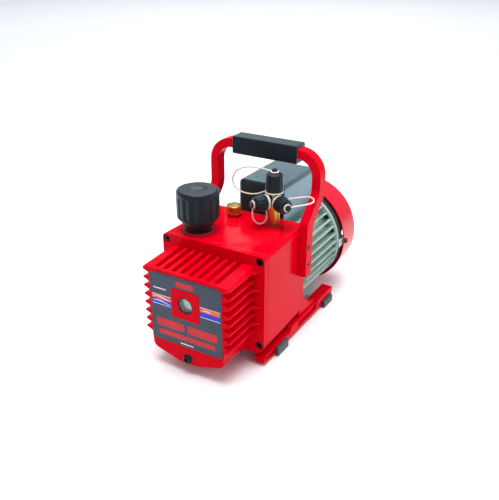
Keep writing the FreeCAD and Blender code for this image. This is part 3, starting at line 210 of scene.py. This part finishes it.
class Recipe:
    """One node material round a Principled shader, in the object's own coordinates."""

    def __init__(self, name, roughness=0.5, metallic=0.0, specular=0.5, edge=0.0):
        self.material = bpy.data.materials.new(name)
        self.material.use_nodes = True
        self.nodes = self.material.node_tree.nodes
        self.links = self.material.node_tree.links
        self.shader = self.nodes["Principled BSDF"]
        self.set("Roughness", roughness)
        self.set("Metallic", metallic)
        self.set("Specular IOR Level", specular)
        self.place = self.nodes.new("ShaderNodeTexCoord").outputs["Object"]
        self.normal = None
        if edge:
            soft = self.nodes.new("ShaderNodeBevel")
            soft.samples = 4
            soft.inputs["Radius"].default_value = edge
            self.normal = soft.outputs["Normal"]
            self.links.new(self.normal, self.shader.inputs["Normal"])

    def set(self, socket, value):
        self.shader.inputs[socket].default_value = value

    def noise(self, scale, detail, stretch=(1, 1, 1), distortion=0.0):
        """Noise with about `scale` bumps to a metre, stretched along an axis by a smaller factor."""
        mapping = self.nodes.new("ShaderNodeMapping")
        mapping.inputs["Scale"].default_value = stretch
        self.links.new(self.place, mapping.inputs["Vector"])
        texture = self.nodes.new("ShaderNodeTexNoise")
        texture.inputs["Scale"].default_value = scale
        texture.inputs["Detail"].default_value = detail
        texture.inputs["Distortion"].default_value = distortion
        self.links.new(mapping.outputs["Vector"], texture.inputs["Vector"])
        return texture.outputs["Fac"]

    def cells(self, scale):
        """Distance to the middle of the nearest of scattered cells."""
        texture = self.nodes.new("ShaderNodeTexVoronoi")
        texture.inputs["Scale"].default_value = scale
        self.links.new(self.place, texture.inputs["Vector"])
        return texture.outputs["Distance"]

    def bands(self, scale, axis, distortion):
        """Bands that follow each other along an axis."""
        texture = self.nodes.new("ShaderNodeTexWave")
        texture.bands_direction = axis
        texture.inputs["Scale"].default_value = scale
        texture.inputs["Distortion"].default_value = distortion
        self.links.new(self.place, texture.inputs["Vector"])
        return texture.outputs["Fac"]

    def colours(self, value, *stops):
        """Base colour that runs through stops of (place, colour) as a value goes from 0 to 1."""
        ramp = self.nodes.new("ShaderNodeValToRGB")
        marks = ramp.color_ramp.elements
        while len(marks) < len(stops):
            marks.new(0.5)
        for mark, (place, colour) in zip(marks, stops):
            mark.position = place
            mark.color = (*colour, 1)
        self.links.new(value, ramp.inputs["Fac"])
        self.links.new(ramp.outputs["Color"], self.shader.inputs["Base Color"])
        return ramp.outputs["Color"]

    def gloss(self, value, low, high):
        """Roughness that runs from low to high over the usual range of a noise."""
        scale = self.nodes.new("ShaderNodeMapRange")
        scale.inputs["From Min"].default_value = NOISE_RANGE[0]
        scale.inputs["From Max"].default_value = NOISE_RANGE[1]
        scale.inputs["To Min"].default_value = low
        scale.inputs["To Max"].default_value = high
        self.links.new(value, scale.inputs["Value"])
        self.links.new(scale.outputs["Result"], self.shader.inputs["Roughness"])

    def glance(self, low, high):
        """Specular level that rises from low where the surface is seen flat to high at a glancing view."""
        view = self.nodes.new("ShaderNodeLayerWeight")
        view.inputs["Blend"].default_value = 0.5
        scale = self.nodes.new("ShaderNodeMapRange")
        scale.inputs["From Min"].default_value = GLANCE_RANGE[0]
        scale.inputs["From Max"].default_value = GLANCE_RANGE[1]
        scale.inputs["To Min"].default_value = low
        scale.inputs["To Max"].default_value = high
        self.links.new(view.outputs["Facing"], scale.inputs["Value"])
        self.links.new(scale.outputs["Result"], self.shader.inputs["Specular IOR Level"])

    def relief(self, value, depth):
        """Bumps of a depth in metres, laid over those already there."""
        bump = self.nodes.new("ShaderNodeBump")
        bump.inputs["Strength"].default_value = 1.0
        bump.inputs["Distance"].default_value = depth
        self.links.new(value, bump.inputs["Height"])
        if self.normal:
            self.links.new(self.normal, bump.inputs["Normal"])
        self.normal = bump.outputs["Normal"]
        self.links.new(self.normal, self.shader.inputs["Normal"])


def gloss_enamel(name, deep, bright, specular):
    """Red enamel with faint orange peel over the casting's own unevenness."""
    paint = Recipe(name, specular=specular, edge=ENAMEL_EDGE)
    paint.colours(paint.noise(16, 3), (0.3, deep), (0.7, bright))
    paint.gloss(paint.noise(40, 2), 0.15, 0.2)
    paint.relief(paint.noise(60, 2), 0.00003)
    paint.relief(paint.noise(480, 2), 0.000006)
    return paint.material


def casting(name, deep, bright, metallic, roughness):
    """Die casting with a fine grain and slight flow marks."""
    metal = Recipe(name, metallic=metallic, edge=CAST_EDGE)
    metal.colours(metal.noise(40, 4), (0.32, deep), (0.68, bright))
    metal.gloss(metal.noise(120, 3), roughness - 0.06, roughness + 0.08)
    metal.relief(metal.noise(1400, 3), 0.000012)
    metal.relief(metal.noise(110, 2), 0.00002)
    return metal.material


def moulded(name, deep, bright, roughness, grain=0.000006, specular=0.3, bloom=0.0, shine=0.0):
    """Moulded plastic or rubber: a fine spark-eroded grain, and a bluish bloom or shine at glancing views."""
    plastic = Recipe(name, specular=specular, edge=CAST_EDGE)
    plastic.set("Sheen Weight", bloom)
    plastic.set("Sheen Roughness", 0.35)
    plastic.set("Sheen Tint", (*MOULDED_SHEEN, 1))
    if shine:
        plastic.set("IOR", MOULDED_SHINE_IOR)
        plastic.set("Specular Tint", (*MOULDED_SHINE, 1))
        plastic.glance(specular, shine)
    plastic.colours(plastic.noise(30, 3), (0.32, deep), (0.7, bright))
    plastic.gloss(plastic.noise(90, 3), roughness - 0.04, roughness + 0.05)
    plastic.relief(plastic.noise(2300, 2), grain)
    return plastic.material


def turned_metal(name, deep, bright, roughness):
    """Lathe-turned metal: fine tool marks along z and a little tarnish."""
    metal = Recipe(name, metallic=1.0, edge=METAL_EDGE)
    metal.colours(metal.noise(60, 3), (0.3, deep), (0.7, bright))
    metal.gloss(metal.noise(160, 3), roughness - 0.05, roughness + 0.06)
    metal.relief(metal.bands(420, "Z", 0.3), 0.000003)
    return metal.material


def ground_metal(name, deep, bright, roughness):
    """Ground or plated steel with short scratches."""
    metal = Recipe(name, metallic=1.0, edge=METAL_EDGE)
    metal.colours(metal.noise(120, 4), (0.3, deep), (0.7, bright))
    metal.gloss(metal.noise(900, 3, stretch=(1, 0.05, 1)), roughness - 0.07, roughness + 0.1)
    metal.relief(metal.noise(1600, 2, stretch=(1, 0.04, 1)), 0.000004)
    return metal.material


def laminated(name, deep, bright):
    """Stacked punched sheets, with their edges as fine bands along the shaft."""
    stack = Recipe(name, metallic=0.9)
    stack.colours(stack.bands(320, "Y", 0.4), (0.2, deep), (0.8, bright))
    stack.gloss(stack.noise(300, 3), 0.35, 0.55)
    stack.relief(stack.bands(320, "Y", 0.2), 0.00004)
    return stack.material


def wound_copper(name):
    """Varnished copper wire laid round the shaft."""
    wire = Recipe(name, metallic=0.85)
    wire.colours(wire.noise(240, 4), (0.3, (0.42, 0.13, 0.05)), (0.7, (0.68, 0.27, 0.11)))
    wire.gloss(wire.noise(200, 3), 0.24, 0.42)
    wire.relief(wire.bands(420, "Y", 1.4), 0.0002)
    return wire.material


def clear_glass(name):
    """Clear, faintly green lens with a trace of oil film."""
    glass = Recipe(name, specular=0.5)
    glass.set("IOR", 1.5)
    glass.set("Transmission Weight", 1.0)
    glass.colours(glass.noise(110, 3), (0.3, (0.86, 0.93, 0.89)), (0.7, (0.95, 0.98, 0.96)))
    glass.gloss(glass.noise(150, 3), 0.02, 0.1)
    return glass.material


def strap_nylon(name):
    """Milky nylon with a drawn grain."""
    nylon = Recipe(name, specular=0.4)
    nylon.set("Subsurface Weight", 0.3)
    nylon.set("Subsurface Scale", 0.002)
    nylon.colours(nylon.noise(60, 3), (0.3, (0.60, 0.56, 0.53)), (0.7, (0.67, 0.63, 0.60)))
    nylon.gloss(nylon.noise(200, 2), 0.25, 0.34)
    nylon.relief(nylon.noise(500, 2), 0.00001)
    return nylon.material


def felt(name):
    """Filter felt: matted fibres."""
    fibre = Recipe(name, specular=0.2)
    fibre.set("Sheen Weight", 0.3)
    fibre.colours(fibre.noise(700, 6, distortion=1.5), (0.3, (0.52, 0.49, 0.40)), (0.7, (0.78, 0.76, 0.68)))
    fibre.gloss(fibre.noise(300, 3), 0.85, 0.98)
    fibre.relief(fibre.noise(1300, 5, distortion=2.0), 0.0003)
    return fibre.material


def composite(name):
    """Phenolic cloth laminate of the vanes."""
    sheet = Recipe(name, specular=0.4)
    sheet.colours(sheet.bands(700, "Z", 1.2), (0.2, (0.13, 0.065, 0.03)), (0.8, (0.24, 0.14, 0.07)))
    sheet.gloss(sheet.noise(300, 3), 0.35, 0.55)
    sheet.relief(sheet.cells(900), 0.00002)
    return sheet.material


def label_ink(name, deep, bright):
    """Printed film: even colour with a faint screen of dots and a satin varnish."""
    ink = Recipe(name, specular=0.3)
    ink.colours(ink.noise(40, 3), (0.32, deep), (0.7, bright))
    ink.gloss(ink.noise(130, 3), 0.3, 0.44)
    ink.relief(ink.cells(1500), 0.000006)
    return ink.material


def floor_board(name):
    """Pale studio floor."""
    board = Recipe(name, specular=0.2)
    board.colours(board.noise(3, 3), (0.3, (0.84, 0.85, 0.87)), (0.7, (0.87, 0.88, 0.90)))
    board.gloss(board.noise(8, 2), 0.7, 0.85)
    board.relief(board.noise(900, 2), 0.00001)
    return board.material


def slot_materials():
    """The material of every slot named in the record."""
    return {
        "red_paint": gloss_enamel("red_paint", (0.61, 0.0, 0.008), (0.66, 0.0, 0.012), 0.03),
        "red_sheet": gloss_enamel("red_sheet", (0.54, 0.0, 0.014), (0.59, 0.0, 0.020), 0.3),
        "black_plastic": moulded("black_plastic", (0.007, 0.008, 0.010), (0.010, 0.011, 0.014), 0.33,
                                 specular=0.08, bloom=0.12, shine=0.2),
        "slate_plastic": moulded("slate_plastic", (0.012, 0.015, 0.017), (0.017, 0.021, 0.024), 0.3,
                                 grain=0.000002, specular=0.06, bloom=0.85, shine=1.0),
        "grip_rubber": moulded("grip_rubber", (0.006, 0.008, 0.010), (0.010, 0.013, 0.016), 0.42,
                               grain=0.00002, specular=0.06, bloom=0.22, shine=0.2),
        "foot_rubber": moulded("foot_rubber", (0.030, 0.042, 0.046), (0.044, 0.060, 0.064), 0.55,
                               grain=0.00002, bloom=0.3),
        "gasket": moulded("gasket", (0.020, 0.008, 0.008), (0.034, 0.012, 0.012), 0.6, 0.00001),
        "red_washer": moulded("red_washer", (0.40, 0.02, 0.03), (0.50, 0.03, 0.04), 0.5, 0.00001),
        "spider_rubber": moulded("spider_rubber", (0.46, 0.16, 0.02), (0.62, 0.26, 0.04), 0.45),
        "fan_plastic": moulded("fan_plastic", (0.012, 0.013, 0.014), (0.020, 0.021, 0.023), 0.42),
        "capacitor_shell": moulded("capacitor_shell", (0.70, 0.70, 0.67), (0.78, 0.78, 0.75), 0.4),
        "brass": turned_metal("brass", (0.46, 0.30, 0.06), (0.53, 0.36, 0.08), 0.3),
        "machined_steel": ground_metal("machined_steel", (0.46, 0.47, 0.48), (0.62, 0.63, 0.64), 0.26),
        "zinc_steel": ground_metal("zinc_steel", (0.38, 0.43, 0.39), (0.48, 0.54, 0.50), 0.32),
        "black_steel": ground_metal("black_steel", (0.018, 0.018, 0.020), (0.045, 0.045, 0.048), 0.34),
        "cast_iron": casting("cast_iron", (0.22, 0.22, 0.225), (0.34, 0.34, 0.345), 0.9, 0.5),
        "motor_aluminium": casting("motor_aluminium", (0.36, 0.48, 0.43), (0.46, 0.59, 0.53), 0.45, 0.42),
        "black_casting": casting("black_casting", (0.014, 0.015, 0.016), (0.028, 0.030, 0.032), 0.0, 0.4),
        "rotor_alloy": laminated("rotor_alloy", (0.42, 0.43, 0.44), (0.62, 0.63, 0.64)),
        "electrical_steel": laminated("electrical_steel", (0.20, 0.21, 0.23), (0.38, 0.39, 0.42)),
        "copper": wound_copper("copper"),
        "sight_glass": clear_glass("sight_glass"),
        "label_film": label_ink("label_film", (0.030, 0.043, 0.070), (0.038, 0.054, 0.086)),
        "strap_plastic": strap_nylon("strap_plastic"),
        "vane_composite": composite("vane_composite"),
        "filter_media": felt("filter_media"),
    }


def dress_frame(materials):
    """Give every CAD node the material of its slot."""
    for part in frame["record"]["subparts"]:
        node = frame["nodes"][part["node"]]
        for holder in node.material_slots:
            holder.material = materials[part["material_slot"]]


# ---------------------------------------------------------------- camera

def make_camera():
    data = bpy.data.cameras.new("camera")
    data.lens = CAMERA_LENS
    data.sensor_width = CAMERA_SENSOR
    data.clip_start = 0.01
    camera = bpy.data.objects.new("camera", data)
    camera.location = at(*CAMERA_PLACE)
    camera.rotation_euler = (math.radians(90 - CAMERA_ELEVATION), 0, math.radians(CAMERA_AZIMUTH))
    bpy.context.scene.collection.objects.link(camera)
    bpy.context.scene.camera = camera


# ---------------------------------------------------------------- cap straps

def port_axis(side):
    """The way a port of the manifold points."""
    if side == "top":
        return Vector((0, 0, 1))
    angle = math.radians(PORT_ANGLES[side])
    return Vector((math.cos(angle), math.sin(angle), 0))


def strap_eye(name, side, sizes, material):
    """Flat moulded eye round a port's axis, its edges well rounded."""
    inner, outer, start, thickness = sizes
    origin = at(*INLET, 0 if side == "top" else PORT_Z)
    axis = port_axis(side)
    turn = Vector((0, 0, 1)).rotation_difference(axis).to_matrix()
    middle = (inner + outer) / 2
    rows = []
    for k in range(EYE_STEPS):
        angle = 2 * math.pi * k / EYE_STEPS
        row = []
        for i in range(EYE_SIDES):
            across = 2 * math.pi * i / EYE_SIDES
            spread = math.copysign(abs(math.cos(across)) ** EYE_ROUNDING, math.cos(across))
            rise = math.copysign(abs(math.sin(across)) ** EYE_ROUNDING, math.sin(across))
            radius = middle + spread * (outer - inner) / 2
            height = start + thickness * (0.5 + rise / 2)
            local = Vector((radius * math.cos(angle), radius * math.sin(angle), height)) * MM
            row.append(origin + turn @ local)
        rows.append(row)
    return new_piece(name, hoop(rows), "root", material)


def strap_line(name, side, material):
    """The strap itself, on one smooth spline."""
    curve = bpy.data.curves.new(name, "CURVE")
    curve.dimensions = "3D"
    curve.bevel_depth = STRAP_R * MM
    curve.bevel_resolution = 6
    curve.resolution_u = 14
    curve.use_fill_caps = True
    route = STRAPS[side]
    spline = curve.splines.new("NURBS")
    spline.points.add(len(route) - 1)
    for point, place in zip(spline.points, route):
        point.co = (*at(*place), 1)
    spline.order_u = 3
    spline.use_endpoint_u = True
    curve.materials.append(material)
    strap = bpy.data.objects.new(name, curve)
    bpy.context.scene.collection.objects.link(strap)
    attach(strap, "root")
    return strap


def make_straps(material):
    for side, route in STRAPS.items():
        kind = "top" if side == "top" else "side"
        eyes = [strap_eye("strap_button_eye_" + side, side, BUTTON_EYE[kind], material),
                strap_eye("strap_neck_eye_" + side, side, NECK_EYE[kind], material)]
        strap = strap_line("strap_" + side, side, material)
        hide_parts("cap_strap_" + side)


# ---------------------------------------------------------------- label print

def printed(name, outline, ink, layer=1):
    """Shape printed on the label's face, as thick as its number of layers of ink."""
    return new_piece("label_" + name, slab(outline, PRINT_T * layer), "root", ink)


def label_rim(ink):
    """Thin dark line just inside the label's edge."""
    left, right = LABEL_X
    low, high = LABEL_Z
    outer, inner = [rounded_outline(left + gap, right - gap, low + gap, high - gap, LABEL_CORNER - gap)
                    for gap in LABEL_RIM]
    rows = []
    for (x0, z0), (x1, z1) in zip(outer, inner):
        rows.append([at(x0, LABEL_FRONT, z0), at(x0, LABEL_FRONT - PRINT_T, z0),
                     at(x1, LABEL_FRONT - PRINT_T, z1), at(x1, LABEL_FRONT, z1)])
    new_piece("label_rim", hoop(rows), "root", ink)


def wave_outline(x0, x1, middle, rise, width, turns):
    """Ribbon that waves along x and thins toward its ends."""
    upper = []
    lower = []
    for k in range(WAVE_STEPS + 1):
        share = k / WAVE_STEPS
        x = x0 + (x1 - x0) * share
        z = middle + rise * math.sin(2 * math.pi * turns * share)
        half = width / 2 * math.sin(math.pi * (WAVE_TAPER + (1 - 2 * WAVE_TAPER) * share))
        upper.append((x, z + half))
        lower.append((x, z - half))
    return upper + lower[::-1]


def make_label_print():
    """Plain bands and bars. They carry no lettering."""
    inks = {colour: label_ink("ink_" + colour, *tones) for colour, tones in INKS.items()}
    label_rim(inks["grey"])
    sides = {"left": (LABEL_X[0] + STRIPE_END_GAP, -SQUARE_HALF - SQUARE_GAP),
             "right": (SQUARE_HALF + SQUARE_GAP, LABEL_X[1] - STRIPE_END_GAP)}
    for side, (x0, x1) in sides.items():
        for name, low, high, corner, colour in STRIPES:
            printed(name + "_" + side, rounded_outline(x0, x1, low, high, corner), inks[colour])
    for name, *wave in WAVES:
        printed(name, wave_outline(*wave), inks["white"], 2)
    for name, *bar, colour in BARS:
        printed(name, rounded_outline(*bar), inks[colour])


def make_glass_bore_shade(material):
    """Thin black ring round the sight glass, in front of its ring, shaped like a seal: painted shade standing
    in for the shadow inside the bore.
    """
    rows = []
    for k in range(SHADE_RING_STEPS):
        angle = 2 * math.pi * k / SHADE_RING_STEPS
        row = []
        for i in range(SHADE_RING_SIDES):
            across = 2 * math.pi * i / SHADE_RING_SIDES
            radius = SHADE_RING_R + SHADE_RING_WIDTH / 2 * math.cos(across)
            y = SHADE_RING_Y + SHADE_RING_T / 2 * math.sin(across)
            row.append(at(radius * math.cos(angle), y, GLASS_Z + radius * math.sin(angle)))
        rows.append(row)
    new_piece("sight_glass_bore_shade", hoop(rows), "root", material)


# ---------------------------------------------------------------- studio

def make_floor():
    mesh = bmesh.new()
    bmesh.ops.create_grid(mesh, x_segments=FLOOR_CELLS, y_segments=FLOOR_CELLS, size=FLOOR_SIZE / 2)
    data = bpy.data.meshes.new("floor")
    mesh.to_mesh(data)
    mesh.free()
    data.materials.append(floor_board("floor"))
    floor = bpy.data.objects.new("floor", data)
    bpy.context.scene.collection.objects.link(floor)


def softbox(name, place, target, width, height, watts):
    """Rectangular light aimed at a target and hidden from the camera."""
    data = bpy.data.lights.new(name, "AREA")
    data.shape = "RECTANGLE"
    data.size = width
    data.size_y = height
    data.energy = watts
    lamp = bpy.data.objects.new(name, data)
    lamp.location = place
    lamp.rotation_euler = (Vector(target) - Vector(place)).to_track_quat("-Z", "Y").to_euler()
    lamp.visible_camera = False
    bpy.context.scene.collection.objects.link(lamp)


def make_world():
    world = bpy.data.worlds.new("studio")
    bpy.context.scene.world = world
    world.use_nodes = True
    world.node_tree.nodes["Background"].inputs["Color"].default_value = (*WORLD_COLOUR, 1)


def make_lights():
    for settings in SOFTBOXES:
        softbox(*settings)


bpy.context.scene.view_settings.view_transform = "Standard"
make_camera()
slot_finishes = slot_materials()
make_straps(slot_finishes["strap_plastic"])
dress_frame(slot_finishes)
# painted shade: a black ring for the shadow inside the sight glass's bore
make_glass_bore_shade(slot_finishes["gasket"])
make_label_print()
make_floor()
make_world()
make_lights()
